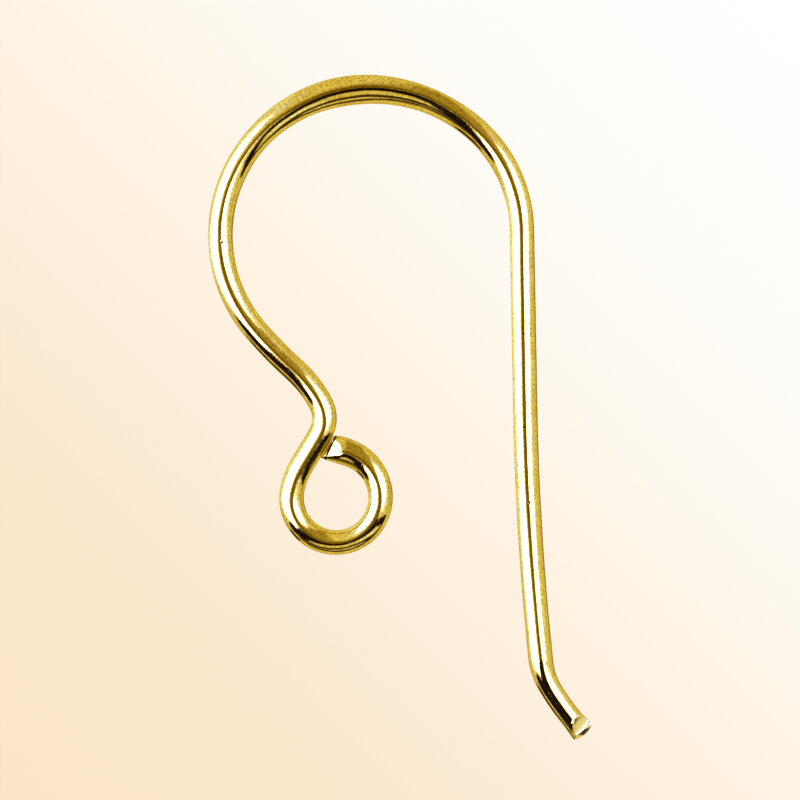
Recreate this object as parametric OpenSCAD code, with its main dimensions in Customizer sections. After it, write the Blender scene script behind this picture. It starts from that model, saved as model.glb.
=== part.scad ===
// Ear wire of the fish-hook kind: one round wire bent into a shank with a
// short kicked tail, a round crown and a small eye closed against the neck.
// It lies flat on its side. Lengths are in millimetres, angles in degrees.

/* [Wire] */
// Diameter of the round wire
wire_d = 0.72; // [0.6:0.01:0.9]
// Depth filed off the wire all round the tail
tail_filed = 0.04; // [0:0.01:0.1]

/* [Shank and tail] */
// Length of the shank, from the bend above the tail up to the shoulder
shank_len = 12.6; // [8:0.1:20]
// Angle of the slow bow along the lower shank
bow_angle = 5; // [0:0.5:8]
// Angle by which the upper shank leans away from upright
lean_angle = 1; // [0:0.5:5]
// Inside radius of the bend between the shank and the tail
tail_bend_in_r = 1.6; // [1:0.1:3]
// Angle of the bend between the shank and the tail
tail_bend_angle = 25; // [10:1:40]
// Length of the tail below its bend
tail_len = 1.6; // [1:0.1:4]
// Angle of the slow curl along the tail
tail_curl_angle = 9; // [0:1:25]

/* [Crown] */
// Inside radius of the crown, where the ear rests
crown_in_r = 3.9; // [3.5:0.1:6]
// Share by which the crown is pressed wider than the round wire
crown_spread = 0.18; // [0:0.01:0.25]
// Length of the pressed stretch of the crown
press_len = 7; // [3:0.1:9]

/* [Neck and eye] */
// Length of the slope that runs in from the crown towards the neck
slope_len = 1.6; // [1:0.1:3]
// Inside radius of the tight bend in the neck
neck_in_r = 0.5; // [0.4:0.05:1]
// Angle of the tight bend in the neck
neck_angle = 59; // [50:1:70]
// Straight neck above the middle of the eye's butted end
neck_above = 0.2; // [0.2:0.05:1]
// Clear width inside the eye
eye_id = 1.88; // [1.4:0.02:2.6]
// Gap between the eye's end and the side of the neck
eye_gap = 0.03; // [0.02:0.01:0.1]

/* [Cut ends] */
// Length of the pinched cut at the tip
tip_cut_len = 0.45; // [0.3:0.05:0.8]
// Share by which the pinch spreads the tip
tip_spread = 0.1; // [0:0.01:0.2]
// How far the tip's cut edge bulges in its middle
tip_bulge = 0.1; // [0:0.01:0.15]
// Length of the pinched cut at the eye's end
eye_cut_len = 0.35; // [0.25:0.05:0.5]
// Share by which the last stretch of the eye is spread
eye_spread = 0.14; // [0:0.01:0.2]
// Length of that spread stretch
eye_spread_len = 1.8; // [1:0.1:3]

/* [Hidden] */
// Names of the parts, and the one that is drawn

// Sides round the wire
SIDES = 24;
// Largest turn and largest gap from one ring of sides to the next
RING_TURN = 6;
RING_GAP = 0.9;
// Length of each step along the middle of the wire
STEP = 0.05;
// Length over which the joint between two bends is eased, and where it is sampled
EASE_LEN = 0.5;
EASE_SHARES = [-0.5, -0.3, -0.1, 0.1, 0.3, 0.5];

// Diameter of the tail, and the radii along the middle of the wire
tail_d = wire_d - 2 * tail_filed;
tail_bend_r = tail_bend_in_r + wire_d / 2;
crown_r = crown_in_r + wire_d / 2;
neck_r = neck_in_r + wire_d / 2;
eye_r = eye_id / 2 + wire_d / 2;

// Columns of the tables of bends: radius as a share of crown_r or eye_r, then angle
RADIUS = 0;
ANGLE = 1;
// The crown, from the shank over the top and down to the slope
crown_bends = [
    [0.95, 50], // shoulder
    [1.11, 50], // flatter top
    [1.00, 120] // round side
];
// The eye, from the neck round to its butted end
eye_bends = [
    [1.65, 19], // easing out of the neck
    [1.00, 169], // round bottom
    [1.05, 95] // closing over the top
];

// Share of the shank that is bowed
bow_share = 0.6;
// Slow curl along the slope, and the easing bend from the slope into the neck
slope_angle = 7;
slope_ease_r = 3.7;
slope_ease_angle = 20;

// Share of a pinched cut's length at which its slanted facets end
pinch_foot = 0.2;
// Columns of the pinched cuts: share of the cut's length, share of thickness left
pinch_profile = [
    [0, 0.25], // thin cut edge
    [pinch_foot, 0.5], // end of the slanted facets
    [1, 1] // round wire
];

// Sum of the first few of a list, its average and its last
function sum(list, count) = count == 0 ? 0 * list[0] : list[count - 1] + sum(list, count - 1);
function average(list) = sum(list, len(list)) / len(list);
function last(list) = list[len(list) - 1];

// Columns of a run of wire: its length, then the angle that it turns to the left
LENGTH = 0;
TURN = 1;
function bend(r, angle) = [r * abs(angle) * PI / 180, angle];
function bends(table, r) = [for (row = table) bend(r * row[RADIUS], row[ANGLE])];

// Distance along the wire and angle turned, at each joint of the runs
function joints(runs) = [for (count = [0:len(runs)]) sum(runs, count)];

// Angle turned at a distance along the wire, averaged over the easing length
function turned(route, s) = average([for (share = EASE_SHARES) lookup(s + share * EASE_LEN, route)]);

// Points along the middle of the wire, as x, y and distance
function stride(heading) = [cos(heading), sin(heading), 1];
function walk(route, heading) = let (
    steps = ceil(last(route)[LENGTH] / STEP),
    ds = last(route)[LENGTH] / steps
) [
    for (i = 0, p = [0, 0, 0]; i <= steps;
         p = p + ds * stride(heading + turned(route, (i + 0.5) * ds)),
         i = i + 1) p
];

// The eye walked alone, with the neck along the x axis and straights before and after it
eye_runs = bends(eye_bends, eye_r);
eye_turn = last(joints(eye_runs))[TURN];
eye_trial_end = last(walk(joints(concat([[EASE_LEN, 0]], eye_runs, [[EASE_LEN, 0]])), 0));
// Straight still needed for the end to reach the neck's side, and where it meets the neck
eye_reach = (eye_trial_end.y - wire_d / 2 - eye_gap) / -sin(eye_turn);
eye_close_len = EASE_LEN + eye_reach;
eye_meets = EASE_LEN - eye_trial_end.x - eye_reach * cos(eye_turn);
// Turn that sets the cut face parallel to the neck
eye_skew = 270 - eye_turn;

// The whole wire, from the tip to the eye's end
runs = concat(
    [
        [tip_cut_len * pinch_foot, 0],
        [tip_cut_len * (1 - pinch_foot), 0],
        [tail_len - tip_cut_len, -tail_curl_angle],
        bend(tail_bend_r, -tail_bend_angle),
        [shank_len * bow_share, -bow_angle],
        [shank_len * (1 - bow_share), 0]
    ],
    bends(crown_bends, crown_r),
    [
        [slope_len, slope_angle],
        bend(slope_ease_r, -slope_ease_angle),
        bend(neck_r, -neck_angle),
        [eye_meets + neck_above, 0]
    ],
    eye_runs,
    [
        [eye_close_len - eye_cut_len, 0],
        [eye_cut_len * (1 - pinch_foot), 0],
        [eye_cut_len * pinch_foot, 0]
    ]
);
// Joints above the tail's bend and at the end of the crown's flatter top
TAIL_JOINT = 4;
PRESS_JOINT = 8;

route = joints(runs);
wire_len = last(route)[LENGTH];
start_heading = 90 + lean_angle + bow_angle + tail_bend_angle + tail_curl_angle;
middle = walk(route, start_heading);
middle_x = [for (p = middle) [p.z, p.x]];
middle_y = [for (p = middle) [p.z, p.y]];

// Diameter before any pressing, eased from the tail to the shank
function round_d(s) = lookup(s, [[tail_len, tail_d], [route[TAIL_JOINT][LENGTH], wire_d]]);

// Share by which the wire is spread across the hook's plane
function swell(x) = abs(x) < 1 ? (1 + cos(180 * x)) / 2 : 0;
function spread(s) =
    crown_spread * swell((s - route[PRESS_JOINT][LENGTH]) * 2 / press_len)
    + lookup(s, [
        [0, tip_spread],
        [tip_cut_len, 0],
        [wire_len - eye_spread_len, 0],
        [wire_len - eye_cut_len, eye_spread]
    ]);

// Share of the thickness left by the pinched cuts, and how far along each cut a place is
function tip_share(s) = s / tip_cut_len;
function eye_share(s) = (wire_len - s) / eye_cut_len;
function pinched(s) = min(lookup(tip_share(s), pinch_profile), lookup(eye_share(s), pinch_profile));

// One ring of sides: an ellipse of the round wire's area, cut level by the pinch
function ring(s) = let (
    heading = start_heading + turned(route, s) + eye_skew * max(0, 1 - eye_share(s)),
    bulge = tip_bulge * max(0, 1 - tip_share(s)),
    half_w = round_d(s) * (1 + spread(s)) / 2,
    half_t = round_d(s) / (1 + spread(s)) / 2,
    level = half_t * pinched(s),
    centre = [lookup(s, middle_x), lookup(s, middle_y)]
) [
    for (i = [0:SIDES - 1]) let (
        across = cos(360 * i / SIDES),
        up = half_t * sin(360 * i / SIDES),
        ahead = -bulge * (1 - across * across),
        side = half_w * across
    ) [
        centre.x + ahead * cos(heading) + side * -sin(heading),
        centre.y + ahead * sin(heading) + side * cos(heading),
        wire_d / 2 + max(-level, min(level, up))
    ]
];

// Places of the rings along the wire
ring_places = [
    for (i = [0:len(runs) - 1]) let (
        gaps = ceil(max(abs(runs[i][TURN]) / RING_TURN, runs[i][LENGTH] / RING_GAP))
    ) for (k = [0:gaps - 1]) route[i][LENGTH] + runs[i][LENGTH] * k / gaps,
    wire_len
];
rings = [for (s = ring_places) ring(s)];
corners = [for (points = rings) each points];

// The origin is below the middle of the hook's outline
xs = [for (p = corners) p.x];
ys = [for (p = corners) p.y];
outline_middle = [min(xs) + max(xs), min(ys) + max(ys)] / 2;

// Faces from ring to ring, and a fan over each cut end
function corner(r, i) = r * SIDES + i % SIDES;
side_faces = [
    for (r = [0:len(rings) - 2]) for (i = [0:SIDES - 1]) each [
        [corner(r, i), corner(r + 1, i), corner(r + 1, i + 1)],
        [corner(r, i), corner(r + 1, i + 1), corner(r, i + 1)]
    ]
];
tip_centre = len(corners);
eye_centre = tip_centre + 1;
tip_faces = [for (i = [0:SIDES - 1]) [corner(0, i), corner(0, i + 1), tip_centre]];
eye_faces = [for (i = [0:SIDES - 1]) [corner(len(rings) - 1, i + 1), corner(len(rings) - 1, i), eye_centre]];

module ear_wire() {
    color("gold")
        translate([-outline_middle.x, -outline_middle.y, 0])
            polyhedron(
                points = concat(corners, [average(rings[0]), average(last(rings))]),
                faces = concat(side_faces, tip_faces, eye_faces)
            );
}

ear_wire();
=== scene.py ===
import math

import bpy
import numpy as np
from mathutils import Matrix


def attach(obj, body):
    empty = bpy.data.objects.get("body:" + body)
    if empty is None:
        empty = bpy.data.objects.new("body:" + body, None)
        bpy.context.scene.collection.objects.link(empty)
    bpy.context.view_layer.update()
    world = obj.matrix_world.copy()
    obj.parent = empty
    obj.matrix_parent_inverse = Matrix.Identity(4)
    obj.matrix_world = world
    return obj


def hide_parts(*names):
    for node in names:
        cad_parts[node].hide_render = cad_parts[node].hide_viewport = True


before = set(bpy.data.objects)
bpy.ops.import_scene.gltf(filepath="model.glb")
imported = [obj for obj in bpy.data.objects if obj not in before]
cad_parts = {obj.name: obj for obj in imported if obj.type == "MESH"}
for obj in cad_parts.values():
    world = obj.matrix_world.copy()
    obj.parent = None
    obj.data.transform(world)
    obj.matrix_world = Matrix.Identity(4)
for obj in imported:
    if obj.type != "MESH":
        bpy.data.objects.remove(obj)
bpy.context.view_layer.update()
print("frame loaded")

metresPerMillimetre = 0.001
photoPixels = 800
sameSpot = 1e-7  # metres within which two points are one
unpinched = 2.0  # a share of the thickness that limits nothing
noLimit = 1.0  # metres, far more than the wire's thickness

# The wire's route, in millimetres and degrees, from the tip of the tail to the eye's end
wireRoute = {
    "wireDiameter": 0.72,
    "shankLength": 12.6,
    "bowAngle": 5,
    "bowShare": 0.6,
    "leanAngle": 1,
    "tailBendInside": 1.6,
    "tailBendAngle": 25,
    "tailLength": 1.6,
    "tailCurl": 9,
    "crownInside": 3.9,
    "crownBends": [(0.95, 50), (1.11, 50), (1.00, 120)],  # radius as a share, angle
    "slopeLength": 1.6,
    "slopeCurl": 7,
    "slopeEaseRadius": 3.7,
    "slopeEaseAngle": 20,
    "neckInside": 0.5,
    "neckAngle": 59,
    "neckAbove": 0.2,
    "eyeInside": 1.88,
    "eyeBends": [(1.65, 19), (1.00, 169), (1.05, 95)],
    "eyeGap": 0.002,
    "tipCut": 0.45,
    "eyeCut": 0.35,
    "cutFoot": 0.2,
    "easeLength": 0.5,
    "easeSamples": 10,
    "walkStep": 0.01,
    "ringGap": 0.05,
    "shankRingGap": 0.12,
    "cutRingGap": 0.0125,
    "edgeRound": 0.012,
    "edgeRings": 4,
    "endInsets": (0.05, 0.09, 0.5),  # of the rings that close an end, as shares of the diameter
}


# A run of wire is its length and the angle it turns
def bend(radius, angle):
    return radius * math.radians(abs(angle)), angle


# Distance and angle turned by the end of each run
def jointsOf(runs):
    return np.concatenate([[(0, 0)], np.cumsum(np.array(runs, float), axis=0)])


# Angle turned at some distances along the wire, averaged over the easing length
def turnedAt(joints, along, route):
    shares = (np.arange(route["easeSamples"]) + 0.5) / route["easeSamples"] - 0.5
    return np.mean([np.interp(along + share * route["easeLength"], joints[:, 0], joints[:, 1])
                    for share in shares], axis=0)


# Points along the middle of the wire, as distance, x and y
def walk(joints, heading, route):
    count = math.ceil(joints[-1, 0] / route["walkStep"])
    step = joints[-1, 0] / count
    angles = np.radians(heading + turnedAt(joints, (np.arange(count) + 0.5) * step, route))
    x = np.concatenate([[0], np.cumsum(np.cos(angles)) * step])
    y = np.concatenate([[0], np.cumsum(np.sin(angles)) * step])
    return np.stack([np.arange(count + 1) * step, x, y], axis=1)


# Works out the whole route: its joints, its middle line and the heading at any distance
def layRoute(route):
    wire, ease, gap = route["wireDiameter"], route["easeLength"], route["eyeGap"]
    crownRadius = route["crownInside"] + wire / 2
    eyeRadius = route["eyeInside"] / 2 + wire / 2
    eyeRuns = [bend(eyeRadius * share, angle) for share, angle in route["eyeBends"]]
    eyeTurn = sum(angle for _, angle in route["eyeBends"])
    trialEnd = walk(jointsOf([(ease, 0)] + eyeRuns + [(ease, 0)]), 0, route)[-1]
    # The straight that the end still needs to reach the neck's side
    reach = (trialEnd[2] - wire / 2 - gap) / -math.sin(math.radians(eyeTurn))
    closing = ease + reach
    # How far up the neck, from the start of the eye, its end meets it
    meets = ease - trialEnd[1] - reach * math.cos(math.radians(eyeTurn))
    foot = route["cutFoot"]
    tipCut, eyeCut, shank = route["tipCut"], route["eyeCut"], route["shankLength"]
    runs = [
        (tipCut * foot, 0),
        (tipCut * (1 - foot), 0),
        (route["tailLength"] - tipCut, -route["tailCurl"]),
        bend(route["tailBendInside"] + wire / 2, -route["tailBendAngle"]),
        (shank * route["bowShare"], -route["bowAngle"]),
        (shank * (1 - route["bowShare"]), 0),
        *[bend(crownRadius * share, angle) for share, angle in route["crownBends"]],
        (route["slopeLength"], route["slopeCurl"]),
        bend(route["slopeEaseRadius"], -route["slopeEaseAngle"]),
        bend(route["neckInside"] + wire / 2, -route["neckAngle"]),
        (meets + route["neckAbove"], 0),
        *eyeRuns,
        (closing - eyeCut, 0),
        (eyeCut * (1 - foot), 0),
        (eyeCut * foot, 0),
    ]
    joints = jointsOf(runs)
    start = 90 + route["leanAngle"] + route["bowAngle"] + route["tailBendAngle"] + route["tailCurl"]
    return {
        "joints": joints,
        "length": joints[-1, 0],
        "start": start,
        "middle": walk(joints, start, route),
        "tailBlendEnd": joints[4, 0],
        "shank": (joints[4, 0], joints[6, 0]),
        "pressMiddle": joints[8, 0],
        "eyeSkew": 270 - eyeTurn,
    }


laid = layRoute(wireRoute)
print(f"route laid: {laid['length']:.2f} mm of wire")

# The shape of the wire along that route; lengths, shares and counts are the named inputs of the tree below
goldWire = {
    "lengths": {  # millimetres
        "Tail Filed": 0.04,
        "Press Length": 7.0,
        "Tip Bulge": 0.1,
        "Burr Height": 0.016,
        "Burr Width": 0.05,
        "Facet Edge": 0.01,
        "Corner Round": 0.012,
        "Eye Spread Length": 1.8,
        "Eye Rounding": 0.55,
        "Crease Place": 0.085,
        "Crease Slant": 0.03,
        "Crease Width": 0.09,
        "Waviness Length": 1.3,
    },
    "shares": {
        "Crown Spread": 0.18,
        "Tip Spread": 0.1,
        "Tip Hollow": 0.15,
        "Tip Roll": 0.40,
        "Roll Limit": 0.8,
        "Burr Steep Side": 0.4,
        "Eye Spread": 0.14,
        "Eye Corner": 0.15,
        "Crease Depth": 0.035,
        "Waviness": 0.05,
    },
    "counts": {"Sides": 96, "Seed": 7},
    # Share of the thickness that the pliers left, from the very end, 0, to where the wire is round, 1;
    # the tip's runs over its cut and the eye's over its rounding
    "tipPinch": [(0.0, 0.14), (0.24, 0.46), (0.28, 0.50), (0.33, 0.51), (0.68, 0.72), (1.0, 0.98)],
    "eyePinch": [(0.0, 0.23), (0.20, 0.55), (0.25, 0.60), (0.42, 0.76), (0.58, 0.88), (0.75, 0.965),
                 (1.0, 1.0)],
    # Where the press and the pliers left the wire leaning: millimetres along it, and the share
    # by which its left side is lower
    "leans": [(0, 0), (17.8, 0), (19.4, 0.10), (21.1, 0.22), (22.8, 0.11), (24.4, 0), (34.5, 0),
              (35.5, -0.15), (36.9, -0.15), (38.0, 0), (43, 0)],
    # Where the roll and the burr fade, as shares of the tip's cut; the burr also fades across the wire,
    # from its middle, 0, to its left side, 1
    "rollEnd": (1.0, 1.4),
    "burrStart": (0.1, 0.3),
    "burrEnd": (1.0, 1.3),
    "burrAcross": (-0.1, 0.25),
    "slantStart": 0.25,  # from here to the left side the crease slants away from the end
    "hollowPower": 4.0,
    "wearPower": 2.0,
}


# Distances of the rings along the wire, and how far each is inset at the cut ends
def ringPlaces(route, laid):
    length, edge, count = laid["length"], route["edgeRound"], route["edgeRings"]
    ends = []
    for i in range(count + 1):
        turn = math.radians(90 * i / count)
        ends.append((edge * (1 - math.sin(turn)), edge * (1 - math.cos(turn))))
    closed = [(0, share * route["wireDiameter"]) for share in route["endInsets"]]
    cap = ends + closed
    tip = cap[::-1]
    eye = [(length - along, inset) for along, inset in cap]
    inner = []
    shankStart, shankEnd = laid["shank"]
    spans = [(edge, route["tipCut"], route["cutRingGap"]),
             (route["tipCut"], shankStart, route["ringGap"]),
             (shankStart, shankEnd, route["shankRingGap"]),
             (shankEnd, length - route["eyeCut"], route["ringGap"]),
             (length - route["eyeCut"], length - edge, route["cutRingGap"])]
    for first, last, gap in spans:
        steps = math.ceil((last - first) / gap)
        inner += [(first + (last - first) * k / steps, 0) for k in range(steps)]
    return tip[:-1] + inner + eye  # the first inner ring is the tip's last


# The middle line as a mesh of edges, with the values that the tree reads on its points
def makeMiddleLine(name, route, laid):
    places = np.array(ringPlaces(route, laid))
    along, inset = places[:, 0], places[:, 1]
    middle = laid["middle"]
    x = np.interp(along, middle[:, 0], middle[:, 1])
    y = np.interp(along, middle[:, 0], middle[:, 2])
    eyeShare = np.clip((laid["length"] - along) / route["eyeCut"], 0, 1)
    turned = turnedAt(laid["joints"], along, route)
    heading = np.radians(laid["start"] + turned + laid["eyeSkew"] * (1 - eyeShare))
    half = route["wireDiameter"] / 2
    points = np.stack([x, y, np.full(len(x), half)], axis=1)
    mesh = bpy.data.meshes.new(name)
    edges = [(i, i + 1) for i in range(len(points) - 1)]
    mesh.from_pydata((points * metresPerMillimetre).tolist(), edges, [])
    for label, values in {"along": along, "inset": inset}.items():
        metres = (values * metresPerMillimetre).astype(np.float32)
        mesh.attributes.new(label, "FLOAT", "POINT").data.foreach_set("value", metres)
    ways = np.stack([np.cos(heading), np.sin(heading), np.zeros(len(x))], axis=1).astype(np.float32)
    mesh.attributes.new("heading", "FLOAT_VECTOR", "POINT").data.foreach_set("vector", ways.ravel())
    wire = bpy.data.objects.new(name, mesh)
    bpy.context.scene.collection.objects.link(wire)
    return wire


# Small helpers that keep the trees readable
def addNode(tree, kind, inputs=None, **settings):
    made = tree.nodes.new(kind)
    for name, value in settings.items():
        setattr(made, name, value)
    for name, value in (inputs or {}).items():
        if isinstance(name, int):
            socket = made.inputs[name]
        else:
            socket = next(s for s in made.inputs if s.name == name and s.enabled)
        if isinstance(value, bpy.types.NodeSocket):
            tree.links.new(value, socket)
        else:
            socket.default_value = value
    return made


def output(made, name=None):
    return next(s for s in made.outputs if s.enabled and (name is None or s.name == name))


def calc(tree, operation, *values):
    return output(addNode(tree, "ShaderNodeMath", dict(enumerate(values)), operation=operation))


def calcVector(tree, operation, *values):
    return output(addNode(tree, "ShaderNodeVectorMath", dict(enumerate(values)), operation=operation))


def scaled(tree, vector, factor):
    inputs = {"Vector": vector, "Scale": factor}
    return output(addNode(tree, "ShaderNodeVectorMath", inputs, operation="SCALE"))


# A number from two vectors: their dot product or their distance
def measure(tree, operation, first, second):
    made = addNode(tree, "ShaderNodeVectorMath", {0: first, 1: second}, operation=operation)
    return output(made, "Value")


def mixed(tree, factor, first, second, kind="RGBA"):
    inputs = {"Factor": factor, "A": first, "B": second}
    return output(addNode(tree, "ShaderNodeMix", inputs, data_type=kind), "Result")


def ramp(tree, value, fromLow, fromHigh, toLow, toHigh, way="LINEAR"):
    inputs = {"Value": value, "From Min": fromLow, "From Max": fromHigh, "To Min": toLow, "To Max": toHigh}
    return output(addNode(tree, "ShaderNodeMapRange", inputs, interpolation_type=way), "Result")


def curveThrough(tree, value, points):
    made = addNode(tree, "ShaderNodeFloatCurve", {"Value": value})
    line = made.mapping.curves[0]
    for spare in points[2:]:
        line.points.new(*spare)
    for point, (x, y) in zip(line.points, sorted(points)):
        point.location = (x, y)
    made.mapping.update()
    return output(made)


# The tree that sweeps the wire: an ellipse of the round wire's area at each ring, pinched at both ends
def makeWireTree(settings, lengths):
    tree = bpy.data.node_groups.new("drawnWire", "GeometryNodeTree")
    face = tree.interface
    face.new_socket("Geometry", in_out="INPUT", socket_type="NodeSocketGeometry")
    for name in [*lengths, *settings["shares"]]:
        face.new_socket(name, in_out="INPUT", socket_type="NodeSocketFloat")
    for name in settings["counts"]:
        face.new_socket(name, in_out="INPUT", socket_type="NodeSocketInt")
    face.new_socket("Material", in_out="INPUT", socket_type="NodeSocketMaterial")
    face.new_socket("Geometry", in_out="OUTPUT", socket_type="NodeSocketGeometry")
    given = tree.nodes.new("NodeGroupInput").outputs

    def named(label, kind="FLOAT"):
        made = addNode(tree, "GeometryNodeInputNamedAttribute", {"Name": label}, data_type=kind)
        return output(made, "Attribute")

    def stored(shape, label, value, kind="FLOAT"):
        inputs = {"Geometry": shape, "Name": label, "Value": value}
        made = addNode(tree, "GeometryNodeStoreNamedAttribute", inputs, data_type=kind, domain="POINT")
        return output(made)

    def opposite(value):
        return calc(tree, "MULTIPLY", value, -1.0)

    def within(value, limit):
        return calc(tree, "MAXIMUM", calc(tree, "MINIMUM", value, limit), opposite(limit))

    def heldUnder(value, limit, corner):
        held = calc(tree, "SMOOTH_MIN", value, limit, corner)
        held = calc(tree, "SMOOTH_MAX", held, opposite(limit), corner)
        return within(held, limit)

    # A round profile whose points keep their place on the unit circle
    profile = addNode(tree, "GeometryNodeCurvePrimitiveCircle",
                      {"Resolution": given["Sides"], "Radius": 1.0})
    place = output(addNode(tree, "GeometryNodeInputPosition"))
    profile = stored(output(profile, "Curve"), "onCircle", place, "FLOAT_VECTOR")
    line = stored(given["Geometry"], "middle", place, "FLOAT_VECTOR")
    line = addNode(tree, "GeometryNodeMeshToCurve", {"Mesh": line})
    tube = addNode(tree, "GeometryNodeCurveToMesh",
                   {"Curve": output(line), "Profile Curve": profile, "Fill Caps": False})

    along, inset = named("along"), named("inset")
    heading, middle = named("heading", "FLOAT_VECTOR"), named("middle", "FLOAT_VECTOR")
    onCircle = named("onCircle", "FLOAT_VECTOR")
    parts = addNode(tree, "ShaderNodeSeparateXYZ", {"Vector": onCircle}).outputs
    across, up = parts["X"], parts["Y"]

    # Diameter: the tail is filed a little thinner, on both sides
    tailEnd = calc(tree, "ADD", given["Tail Length"], given["Tail Blend"])
    bothSides = ramp(tree, along, given["Tail Length"], tailEnd, 2.0, 0.0)
    filed = calc(tree, "MULTIPLY", given["Tail Filed"], bothSides)
    diameter = calc(tree, "SUBTRACT", given["Wire Diameter"], filed)

    # Spread: the pressed crown, the tip and the eye's end
    fromCrown = calc(tree, "ABSOLUTE", calc(tree, "SUBTRACT", along, given["Crown Middle"]))
    halfPress = calc(tree, "MULTIPLY", given["Press Length"], 0.5)
    swell = calc(tree, "COSINE", ramp(tree, fromCrown, 0.0, halfPress, 0.0, math.pi))
    swell = calc(tree, "MULTIPLY_ADD", swell, 0.5, 0.5)
    fromEye = calc(tree, "SUBTRACT", given["Wire Length"], along)
    crownSpread = calc(tree, "MULTIPLY", swell, given["Crown Spread"])
    tipSpread = ramp(tree, along, 0.0, given["Tip Cut"], given["Tip Spread"], 0.0)
    eyeSpread = ramp(tree, fromEye, given["Eye Cut"], given["Eye Spread Length"], given["Eye Spread"], 0.0)
    spread = calc(tree, "ADD", calc(tree, "ADD", crownSpread, tipSpread), eyeSpread)
    stretch = calc(tree, "ADD", spread, 1.0)

    # A very slight unevenness, as in any wire that was drawn and bent; none at the ends, so that they close
    ring = scaled(tree, onCircle, calc(tree, "MULTIPLY", diameter, 0.5))
    around = calcVector(tree, "ADD", ring, addNode(tree, "ShaderNodeCombineXYZ", {"Z": along}).outputs[0])
    uneven = addNode(tree, "ShaderNodeTexNoise",
                     {"Vector": around, "W": given["Seed"], "Detail": 2.0,
                      "Scale": calc(tree, "DIVIDE", 1.0, given["Waviness Length"])}, noise_dimensions="4D")
    uneven = calc(tree, "SUBTRACT", uneven.outputs[0], 0.5)
    waviness = calc(tree, "MULTIPLY", given["Waviness"], ramp(tree, along, 0.0, given["Tip Cut"], 0.0, 1.0))
    waviness = calc(tree, "MULTIPLY", waviness, ramp(tree, fromEye, 0.0, given["Eye Cut"], 0.0, 1.0))
    uneven = calc(tree, "MULTIPLY_ADD", uneven, waviness, 1.0)
    half = calc(tree, "MULTIPLY", calc(tree, "MULTIPLY", diameter, 0.5), uneven)
    halfWidth = calc(tree, "MULTIPLY", half, stretch)
    halfThick = calc(tree, "DIVIDE", half, stretch)
    # The outer corner of the eye's end is worn round
    worn = ramp(tree, fromEye, 0.0, given["Eye Rounding"], 1.0, 0.0)
    worn = calc(tree, "POWER", worn, settings["wearPower"])
    worn = calc(tree, "MULTIPLY", worn, ramp(tree, across, 0.0, -1.0, 0.0, given["Eye Corner"]))
    halfWidth = calc(tree, "MULTIPLY", halfWidth, calc(tree, "SUBTRACT", 1.0, worn))

    # Tip: pinched flat, with hollow facets whose rims stand a little higher
    tipShare = calc(tree, "DIVIDE", along, given["Tip Cut"])
    tipLeft = curveThrough(tree, tipShare, settings["tipPinch"])
    past = calc(tree, "MAXIMUM", calc(tree, "SUBTRACT", tipShare, 1.0), 0.0)
    tipLeft = calc(tree, "MINIMUM", calc(tree, "ADD", tipLeft, past), unpinched)
    rim = calc(tree, "POWER", calc(tree, "ABSOLUTE", across), settings["hollowPower"])
    rim = calc(tree, "MULTIPLY", rim, given["Tip Hollow"])
    rim = calc(tree, "MULTIPLY", rim, ramp(tree, tipShare, 0.0, 1.0, 1.0, 0.0))
    tipLeft = calc(tree, "ADD", tipLeft, rim)
    level = calc(tree, "MULTIPLY", halfThick, tipLeft)
    # The jaws were held slightly rolled, so both facets tilt to one side
    roll = calc(tree, "MINIMUM", given["Tip Roll"], calc(tree, "MULTIPLY", tipLeft, given["Roll Limit"]))
    roll = calc(tree, "MULTIPLY", roll, ramp(tree, tipShare, *settings["rollEnd"], 1.0, 0.0))
    tilt = calc(tree, "MULTIPLY", calc(tree, "MULTIPLY", across, halfThick), roll)

    # The eye's end: rounded down towards the neck, with a thin crease across it
    eyeShare = calc(tree, "MINIMUM", calc(tree, "DIVIDE", fromEye, given["Eye Rounding"]), 1.0)
    eyeLeft = curveThrough(tree, eyeShare, settings["eyePinch"])
    # It is rounded half as much on its outer side
    eyeLeft = ramp(tree, across, -1.0, 0.0, calc(tree, "MULTIPLY_ADD", eyeLeft, 0.5, 0.5), eyeLeft)
    slanted = ramp(tree, across, settings["slantStart"], 1.0, 0.0, 1.0)
    creasePlace = calc(tree, "MULTIPLY_ADD", slanted, given["Crease Slant"], given["Crease Place"])
    fromCrease = calc(tree, "ABSOLUTE", calc(tree, "SUBTRACT", fromEye, creasePlace))
    halfCrease = calc(tree, "MULTIPLY", given["Crease Width"], 0.5)
    crease = ramp(tree, fromCrease, 0.0, halfCrease, 1.0, 0.0, way="SMOOTHSTEP")
    eyeLeft = calc(tree, "SUBTRACT", eyeLeft, calc(tree, "MULTIPLY", crease, given["Crease Depth"]))
    height = calc(tree, "MULTIPLY", calc(tree, "MULTIPLY", up, halfThick), eyeLeft)

    # The inset rings close the end faces; the rings that aren't inset have no limit
    endLevel = calc(tree, "SUBTRACT", halfThick, inset)
    endLevel = calc(tree, "ADD", endLevel, ramp(tree, inset, 0.0, sameSpot, noLimit, 0.0))
    level = calc(tree, "SUBTRACT", level, inset)
    level = calc(tree, "MAXIMUM", calc(tree, "MINIMUM", level, endLevel), 0.0)
    corner = calc(tree, "MINIMUM", given["Corner Round"], level)
    tilted = calc(tree, "SUBTRACT", height, tilt)
    fromFacet = calc(tree, "SUBTRACT", calc(tree, "ABSOLUTE", tilted), level)
    # The end face closes within the round section's own height
    rounded = calc(tree, "ABSOLUTE", height)
    height = within(calc(tree, "ADD", heldUnder(tilted, level, corner), tilt), rounded)
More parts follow.
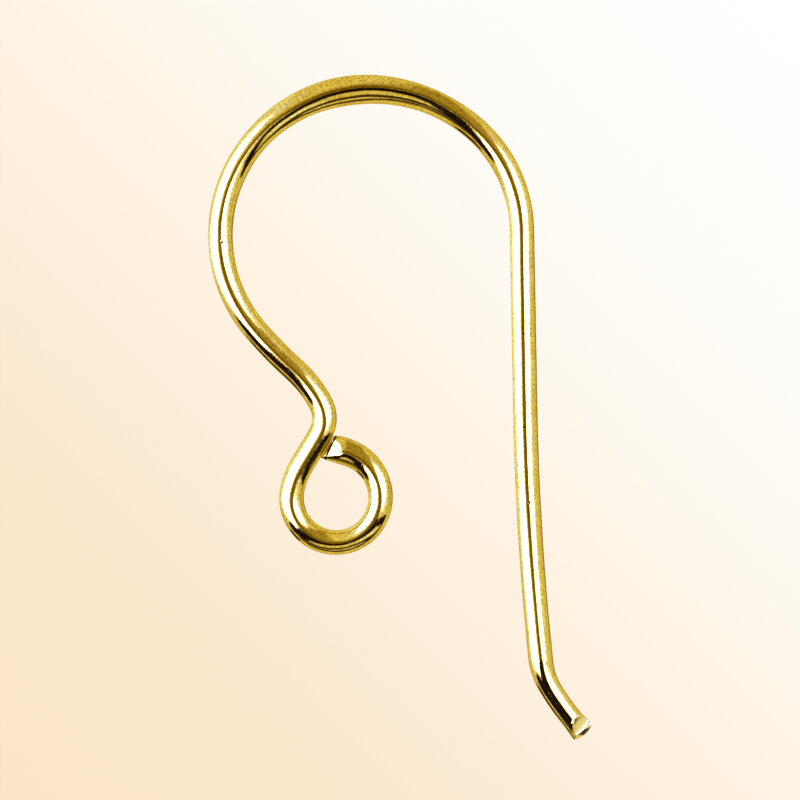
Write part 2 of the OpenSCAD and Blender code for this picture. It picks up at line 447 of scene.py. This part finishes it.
    # The cut pushed up a burr along the facet's left rim, steeper towards the facet
    outside = ramp(tree, fromFacet, opposite(given["Burr Width"]), 0.0, 0.0, 1.0, way="SMOOTHSTEP")
    steepWidth = calc(tree, "MULTIPLY", given["Burr Width"], given["Burr Steep Side"])
    inside = ramp(tree, fromFacet, 0.0, steepWidth, 1.0, 0.0, way="SMOOTHSTEP")
    burr = calc(tree, "MULTIPLY", calc(tree, "MULTIPLY", outside, inside), given["Burr Height"])
    fades = [(across, settings["burrAcross"], 0.0, 1.0),
             (tipShare, settings["burrStart"], 0.0, 1.0),
             (tipShare, settings["burrEnd"], 1.0, 0.0)]
    for value, (low, high), toLow, toHigh in fades:
        burr = calc(tree, "MULTIPLY", burr, ramp(tree, value, low, high, toLow, toHigh, way="SMOOTHSTEP"))
    height = calc(tree, "MULTIPLY_ADD", burr, calc(tree, "SIGN", up), height)

    # Some stretches lean a little to one side; the curve holds each lean above a half
    leans = [(where / lengths["Wire Length"], 0.5 + share) for where, share in settings["leans"]]
    leaning = curveThrough(tree, calc(tree, "DIVIDE", along, given["Wire Length"]), leans)
    leaning = calc(tree, "SUBTRACT", leaning, 0.5)
    leaning = calc(tree, "MULTIPLY", leaning, calc(tree, "MULTIPLY", across, halfThick))
    height = calc(tree, "SUBTRACT", height, leaning)

    # The tip's cut edge bulges in its middle
    nearTip = ramp(tree, along, 0.0, given["Tip Cut"], 1.0, 0.0)
    nearMiddle = calc(tree, "SUBTRACT", 1.0, calc(tree, "MULTIPLY", across, across))
    ahead = calc(tree, "MULTIPLY", nearTip, nearMiddle)
    ahead = calc(tree, "MULTIPLY", opposite(given["Tip Bulge"]), ahead)

    sideways = calcVector(tree, "CROSS_PRODUCT", (0, 0, 1), heading)
    aside = calc(tree, "MULTIPLY", across, halfWidth)
    spot = calcVector(tree, "ADD", middle, scaled(tree, heading, ahead))
    spot = calcVector(tree, "ADD", spot, scaled(tree, sideways, aside))
    spot = calcVector(tree, "ADD", spot, addNode(tree, "ShaderNodeCombineXYZ", {"Z": height}).outputs[0])
    shaped = addNode(tree, "GeometryNodeSetPosition", {"Geometry": output(tube), "Position": spot})
    closed = addNode(tree, "GeometryNodeMergeByDistance",
                     {"Geometry": output(shaped), "Distance": sameSpot})

    # The wire's own coordinates, as if it were straight, in millimetres: across, up and along
    straight = addNode(tree, "ShaderNodeCombineXYZ", {"X": aside, "Y": height, "Z": along}).outputs[0]
    straight = scaled(tree, straight, 1 / metresPerMillimetre)
    kept = stored(output(closed), "straight", straight, "FLOAT_VECTOR")
    # How much a place was cut by the pliers, and how deep it lies in the crease, both from 0 to 1; the
    # gold's colour darkens the crease by that depth as painted shade
    facetEdge = given["Facet Edge"]
    kept = stored(kept, "cut", ramp(tree, fromFacet, opposite(facetEdge), facetEdge, 0.0, 1.0))
    kept = stored(kept, "crease", crease)
    smooth = addNode(tree, "GeometryNodeSetShadeSmooth", {"Geometry": kept, "Shade Smooth": True})
    real = addNode(tree, "GeometryNodeRealizeInstances", {"Geometry": output(smooth)})
    finish = addNode(tree, "GeometryNodeSetMaterial",
                     {"Geometry": output(real), "Material": given["Material"]})
    result = tree.nodes.new("NodeGroupOutput")
    tree.links.new(output(finish), result.inputs[0])
    return tree


# Runs the tree on the middle line and keeps its result as a plain mesh
def sweepWire(name, settings, route, laid, material):
    line = makeMiddleLine(name + "Line", route, laid)
    lengths = {
        **settings["lengths"],
        "Wire Diameter": route["wireDiameter"],
        "Wire Length": laid["length"],
        "Tail Length": route["tailLength"],
        "Tail Blend": laid["tailBlendEnd"] - route["tailLength"],
        "Crown Middle": laid["pressMiddle"],
        "Tip Cut": route["tipCut"],
        "Eye Cut": route["eyeCut"],
    }
    tree = makeWireTree(settings, lengths)
    values = {label: float(length) * metresPerMillimetre for label, length in lengths.items()}
    values.update(settings["shares"])
    values.update(settings["counts"])
    values["Material"] = material
    sweep = line.modifiers.new("sweep", "NODES")
    sweep.node_group = tree
    for socket in tree.interface.items_tree:
        if socket.in_out == "INPUT" and socket.name in values:
            sweep[socket.identifier] = values[socket.name]
    ready = line.evaluated_get(bpy.context.evaluated_depsgraph_get())
    mesh = bpy.data.meshes.new_from_object(ready)
    bpy.data.objects.remove(line)
    mesh.name = name
    for label in ("along", "inset", "heading", "middle", "onCircle"):
        mesh.attributes.remove(mesh.attributes[label])
    piece = bpy.data.objects.new(name, mesh)
    bpy.context.scene.collection.objects.link(piece)
    return piece


# Sets the outline's middle over the origin, as in the CAD
def centreOverOrigin(piece):
    corners = np.zeros(len(piece.data.vertices) * 3, np.float32)
    piece.data.vertices.foreach_get("co", corners)
    corners = corners.reshape(-1, 3)
    shift = (corners.min(0) + corners.max(0)) / 2
    corners[:, :2] -= shift[:2]
    piece.data.vertices.foreach_set("co", corners.ravel())
    piece.data.update()


# Polished gold: fine draw lines along the wire, a satin skin, a few pits and painted shade in the eye's
# crease; depths and sizes in millimetres, and each band is the stretch of a noise that its looks run over
goldFinish = {
    "gold": (0.88, 0.63, 0.11),
    "deepGold": (0.82, 0.55, 0.08),
    "edgeTint": (0.78, 0.64, 0.30),
    "cloudSize": 0.9,
    "cloudBand": (0.35, 0.65),
    "speckle": (0.66, 1.30),
    "speckleBand": (0.36, 0.64),
    "speckleSize": 0.045,
    "speckleStretch": 0.6,
    "roughness": (0.03, 0.10),
    "roughnessBand": (0.3, 0.7),
    "drawLineDepth": 0.0005,
    "drawLineSize": 0.07,
    "drawLineStretch": 0.08,
    "grainDepth": 0.0005,
    "grainSize": 0.06,
    "cutGold": (0.96, 0.76, 0.24),
    "cutRoughness": 0.12,
    "pits": [  # distance along, angle round the wire, radius
        (7.1, 91, 0.05),
        (9.3, 82, 0.05),
        (12.0, 84, 0.04),
        (28.8, 78, 0.06),
    ],
    "pitCore": 0.4,  # share of a pit's radius that is fully dark
    "pitDepth": 0.003,
    # The pits' colour also paints shade into the crease across the eye's end, as dark as the next line
    # gives
    "pitAndCreaseShadeColour": (0.02, 0.012, 0.004),
    "creasePaintedShade": (0.5, 0.98),  # from this share of its depth the crease is this dark
}


def makeGold(finish, wireDiameter):
    gold = bpy.data.materials.new("polishedGold")
    gold.use_nodes = True
    tree = gold.node_tree
    shader = tree.nodes["Principled BSDF"]
    shader.inputs["Metallic"].default_value = 1.0
    shader.inputs["Specular Tint"].default_value = (*finish["edgeTint"], 1)
    place = output(addNode(tree, "ShaderNodeAttribute", attribute_name="straight"), "Vector")

    def noise(size, stretch=1.0, detail=2.0):
        spot = calcVector(tree, "MULTIPLY", place, (1, 1, stretch))
        inputs = {"Vector": spot, "Scale": 1 / size, "Detail": detail}
        return addNode(tree, "ShaderNodeTexNoise", inputs).outputs[0]

    # Fine lines from the draw plate run along the wire
    lines = noise(finish["drawLineSize"], finish["drawLineStretch"])
    grain = noise(finish["grainSize"])
    clouds = noise(finish["cloudSize"])
    speckle = noise(finish["speckleSize"], finish["speckleStretch"], 3.0)
    cut = output(addNode(tree, "ShaderNodeAttribute", attribute_name="cut"), "Fac")

    # Pits: the distance of a place from each
    pitted = 0.0
    half = wireDiameter / 2
    for along, angle, radius in finish["pits"]:
        turn = math.radians(angle)
        spot = (half * math.cos(turn), half * math.sin(turn), along)
        distance = measure(tree, "DISTANCE", place, spot)
        hole = ramp(tree, distance, radius * finish["pitCore"], radius, 1.0, 0.0, way="SMOOTHSTEP")
        pitted = calc(tree, "MAXIMUM", hole, pitted)

    clouded = ramp(tree, clouds, *finish["cloudBand"], 0.0, 1.0)
    shade = mixed(tree, clouded, (*finish["gold"], 1), (*finish["deepGold"], 1))
    shade = scaled(tree, shade, ramp(tree, speckle, *finish["speckleBand"], *finish["speckle"]))
    shade = mixed(tree, cut, shade, (*finish["cutGold"], 1))
    # Painted shade: the crease across the eye's end is darkened nearly to black in the colour, beside the
    # dark pits
    crease = output(addNode(tree, "ShaderNodeAttribute", attribute_name="crease"), "Fac")
    fullShare, dark = finish["creasePaintedShade"]
    pitsAndCreaseShade = calc(tree, "MAXIMUM", pitted, ramp(tree, crease, 0.0, fullShare, 0.0, dark))
    shade = mixed(tree, pitsAndCreaseShade, shade, (*finish["pitAndCreaseShadeColour"], 1))
    tree.links.new(shade, shader.inputs["Base Color"])

    rough = ramp(tree, grain, *finish["roughnessBand"], *finish["roughness"])
    rough = mixed(tree, cut, rough, finish["cutRoughness"], "FLOAT")
    tree.links.new(rough, shader.inputs["Roughness"])

    relief = calc(tree, "MULTIPLY", lines, finish["drawLineDepth"])
    relief = calc(tree, "MULTIPLY_ADD", grain, finish["grainDepth"], relief)
    relief = calc(tree, "MULTIPLY_ADD", pitted, -finish["pitDepth"], relief)
    bump = addNode(tree, "ShaderNodeBump",
                   {"Strength": 1.0, "Distance": metresPerMillimetre, "Height": relief})
    tree.links.new(output(bump), shader.inputs["Normal"])
    return gold


gold = makeGold(goldFinish, wireRoute["wireDiameter"])
wire = sweepWire("gold_wire", goldWire, wireRoute, laid, gold)
centreOverOrigin(wire)
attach(wire, "root")
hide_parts("ear_wire")
print(f"wire swept: {len(wire.data.vertices)} points")

# Camera: straight above, at the photograph's framing
photoView = {
    "pixelsPerMillimetre": 34.17,
    "originPixel": (400.06, 407.24),
    "lens": 100.0,
    "sensor": 36.0,
    "clip": (0.05, 100),  # nearest and farthest seen, as shares of the camera's distance
}


def makeCamera(view, focusHeight):
    width = photoPixels / view["pixelsPerMillimetre"] * metresPerMillimetre
    lens = bpy.data.cameras.new("photoCamera")
    lens.lens, lens.sensor_width = view["lens"], view["sensor"]
    distance = width * view["lens"] / view["sensor"]
    nearest, farthest = view["clip"]
    lens.clip_start, lens.clip_end = distance * nearest, distance * farthest
    camera = bpy.data.objects.new("photoCamera", lens)
    x, y = view["originPixel"]
    perPixel = metresPerMillimetre / view["pixelsPerMillimetre"]
    middle = photoPixels / 2
    camera.location = ((middle - x) * perPixel, (y - middle) * perPixel, distance + focusHeight)
    bpy.context.scene.collection.objects.link(camera)
    bpy.context.scene.camera = camera
    return width


frameWidth = makeCamera(photoView, wireRoute["wireDiameter"] / 2 * metresPerMillimetre)
print(f"camera set: the frame is {frameWidth / metresPerMillimetre:.2f} mm wide")

# The plain backdrop that the wire lies on, lit from below like a light table: peach at the lower left
# and nearly white at the upper right; its width is in metres
paleFloor = {
    "width": 0.6,
    "colours": [
        (0.00, (0.965, 0.791, 0.584)),
        (0.25, (0.965, 0.807, 0.617)),
        (0.40, (0.980, 0.863, 0.723)),
        (0.50, (0.991, 0.888, 0.765)),
        (0.62, (0.985, 0.939, 0.855)),
        (0.75, (0.996, 0.973, 0.930)),
        (1.00, (1.0, 1.0, 1.0)),
    ],
}


def makeFloor(look, frameWidth):
    half = look["width"] / 2
    mesh = bpy.data.meshes.new("paleFloor")
    corners = [(-half, -half, 0), (half, -half, 0), (half, half, 0), (-half, half, 0)]
    mesh.from_pydata(corners, [], [(0, 1, 2, 3)])
    floor = bpy.data.objects.new("paleFloor", mesh)
    bpy.context.scene.collection.objects.link(floor)
    paper = bpy.data.materials.new("palePaper")
    paper.use_nodes = True
    tree = paper.node_tree
    tree.nodes.clear()
    place = addNode(tree, "ShaderNodeTexCoord").outputs["Object"]
    towardsUpperRight = measure(tree, "DOT_PRODUCT", place, (1, 1, 0))
    share = ramp(tree, towardsUpperRight, -frameWidth, frameWidth, 0.0, 1.0)
    blend = addNode(tree, "ShaderNodeValToRGB", {"Fac": share})
    stops = blend.color_ramp.elements  # a new ramp has its first and last stop
    for where, _ in look["colours"][1:-1]:
        stops.new(where)
    for stop, (where, colour) in zip(stops, look["colours"]):
        stop.position = where
        stop.color = (*colour, 1)
    glow = addNode(tree, "ShaderNodeEmission", {"Color": output(blend, "Color")})
    end = tree.nodes.new("ShaderNodeOutputMaterial")
    tree.links.new(output(glow), end.inputs["Surface"])
    mesh.materials.append(paper)
    floor.visible_glossy = False
    floor.visible_shadow = False
    return floor


makeFloor(paleFloor, frameWidth)
print("floor laid")

# Studio light, drawn on a dome: 0, 0 is straight above the wire, x to the right and y up in the picture;
# 0.7 from the middle is level with the table, and beyond it is light from below the horizon.
# Each row: the middle of a box or flag as x, y and half width, then its soft edge and its light
studio = {
    "fill": (0.80, 0.77, 0.56),
    "again": (0.62, 0.80, 0.60),  # what gold seen in gold shows
    "againDepth": 2.5,  # depth beyond which a ray sees that
    "room": (0.97, 0.90, 0.80),
    "straightDown": 1e-6,  # keeps the map finite there
    "boxesAndFlags": {
        "pale rim": ([(-0.49, 1.02, 0.12), (-0.90, 0.20, 0.18)], 0.38, (0.98, 1.10, 1.70)),
        "right rim": ([(1.02, -0.30, 0.03), (1.02, 0.25, 0.03)], 0.16, (0.32, 0.28, 0.15)),
        "left bar": ([(-0.72, 0.01, 0.05), (-0.98, 0.03, 0.05)], 0.12, (1.05, 1.30, 3.00)),
        "left glow": ([(-0.53, 0.00, 0.18), (-0.44, 0.22, 0.17)], 0.20, (1.05, 1.35, 4.20)),
        "left box": ([(-0.51, 0.02, 0.18), (-0.44, 0.20, 0.17)], 0.10, (9.0, 9.5, 22.0)),
        "right glow": ([(0.34, 0.05, 0.08), (0.42, 0.16, 0.10)], 0.26, (0.98, 1.15, 2.40)),
        "right box": ([(0.25, 0.06, 0.09), (0.35, 0.12, 0.10)], 0.08, (9.0, 9.5, 22.0)),
        "left box foot": ([(-0.45, -0.08, 0.10), (-0.24, -0.15, 0.055)], 0.06, (9.0, 9.5, 22.0)),
        "front patch": ([(0.20, -0.30, 0.03), (0.32, -0.37, 0.02)], 0.08, (1.05, 1.20, 2.00)),
        "upper shade": ([(0.03, 0.08, 0.03), (0.10, 0.18, 0.05), (0.18, 0.38, 0.07), (0.24, 0.60, 0.04)],
                        0.10, (0.42, 0.34, 0.10)),
        "middle shade": ([(0.00, 0.00, 0.05), (0.00, -0.08, 0.05)], 0.06, (0.34, 0.27, 0.06)),
        "lens": ([(-0.09, 0.00, 0.035), (0.03, 0.00, 0.03)], 0.06, (0.20, 0.14, 0.012)),
        "low arc": ([(-0.32, -0.46, 0.03), (-0.207, -0.504, 0.036), (-0.085, -0.505, 0.04),
                     (0.026, -0.46, 0.04), (0.133, -0.43, 0.036), (0.244, -0.43, 0.034),
                     (0.342, -0.459, 0.034), (0.453, -0.476, 0.038), (0.57, -0.37, 0.04)],
                    0.05, (0.07, 0.042, 0.012)),
        "low rim": ([(-0.44, -0.52, 0.03), (-0.345, -0.60, 0.034), (-0.22, -0.65, 0.036),
                     (0.03, -0.69, 0.036), (0.275, -0.63, 0.034), (0.47, -0.49, 0.034)],
                    0.05, (0.04, 0.025, 0.01)),
        "tail rim": ([(-0.60, -0.64, 0.055), (-0.67, -0.55, 0.05)], 0.035, (0.03, 0.02, 0.008)),
        "left hook": ([(-0.28, -0.33, 0.05), (-0.37, -0.42, 0.055)], 0.04, (0.03, 0.02, 0.008)),
        "left flag": ([(0.03, -0.11, 0.04), (0.012, -0.13, 0.05), (-0.03, -0.15, 0.055),
                       (-0.08, -0.172, 0.06), (-0.14, -0.205, 0.062), (-0.21, -0.255, 0.062),
                       (-0.30, -0.32, 0.06)],
                      0.03, (0.012, 0.006, 0.003)),
        "left flag end": ([(-0.36, -0.32, 0.08), (-0.50, -0.37, 0.08)], 0.04, (0.012, 0.006, 0.003)),
        "right flag": ([(0.03, -0.11, 0.04), (0.076, -0.128, 0.045), (0.108, -0.14, 0.042),
                        (0.176, -0.172, 0.035), (0.222, -0.182, 0.028), (0.336, -0.208, 0.026),
                        (0.417, -0.245, 0.036), (0.52, -0.27, 0.048), (0.60, -0.29, 0.04)],
                       0.03, (0.012, 0.006, 0.003)),
    },
}


# How much of each place on the dome lies within a box or flag, from 0 to 1
def coverOf(tree, spot, start, end, soft):
    reach = (end[0] - start[0], end[1] - start[1], 0)
    square = reach[0] ** 2 + reach[1] ** 2
    away = calcVector(tree, "SUBTRACT", spot, (start[0], start[1], 0))
    share = measure(tree, "DOT_PRODUCT", away, (reach[0] / square, reach[1] / square, 0))
    share = ramp(tree, share, 0.0, 1.0, 0.0, 1.0)
    distance = measure(tree, "DISTANCE", away, scaled(tree, reach, share))
    halfWidth = calc(tree, "MULTIPLY_ADD", share, end[2] - start[2], start[2])
    return ramp(tree, calc(tree, "SUBTRACT", distance, halfWidth), 0.0, soft, 1.0, 0.0, way="SMOOTHSTEP")


def makeStudio(look):
    world = bpy.data.worlds.new("studio")
    bpy.context.scene.world = world
    world.use_nodes = True
    tree = world.node_tree
    tree.nodes.clear()
    way = addNode(tree, "ShaderNodeTexCoord").outputs["Generated"]
    way = calcVector(tree, "NORMALIZE", way)
    parts = addNode(tree, "ShaderNodeSeparateXYZ", {"Vector": way})
    # Equal-area map of the dome
    height = calc(tree, "MULTIPLY_ADD", parts.outputs["Z"], 2.0, 2.0)
    height = calc(tree, "MAXIMUM", height, look["straightDown"])
    shrink = calc(tree, "DIVIDE", 1.0, calc(tree, "SQRT", height))
    flat = calcVector(tree, "MULTIPLY", way, (1, 1, 0))
    spot = scaled(tree, flat, shrink)
    light = (*look["fill"], 1)
    for points, soft, glow in look["boxesAndFlags"].values():
        for start, end in zip(points, points[1:]):
            cover = coverOf(tree, spot, start, end, soft)
            light = mixed(tree, cover, light, (*glow, 1))
    # Gold seen in gold has no second set of bright boxes, and the camera and the floor see a plain room
    path = addNode(tree, "ShaderNodeLightPath").outputs
    again = calc(tree, "GREATER_THAN", path["Ray Depth"], look["againDepth"])
    light = mixed(tree, again, light, (*look["again"], 1))
    plain = calc(tree, "MAXIMUM", path["Is Camera Ray"], path["Is Diffuse Ray"])
    light = mixed(tree, plain, light, (*look["room"], 1))
    back = addNode(tree, "ShaderNodeBackground", {"Color": light, "Strength": 1.0})
    end = tree.nodes.new("ShaderNodeOutputWorld")
    tree.links.new(output(back), end.inputs["Surface"])


makeStudio(studio)
bpy.context.scene.view_settings.view_transform = "Standard"
print("studio lit")
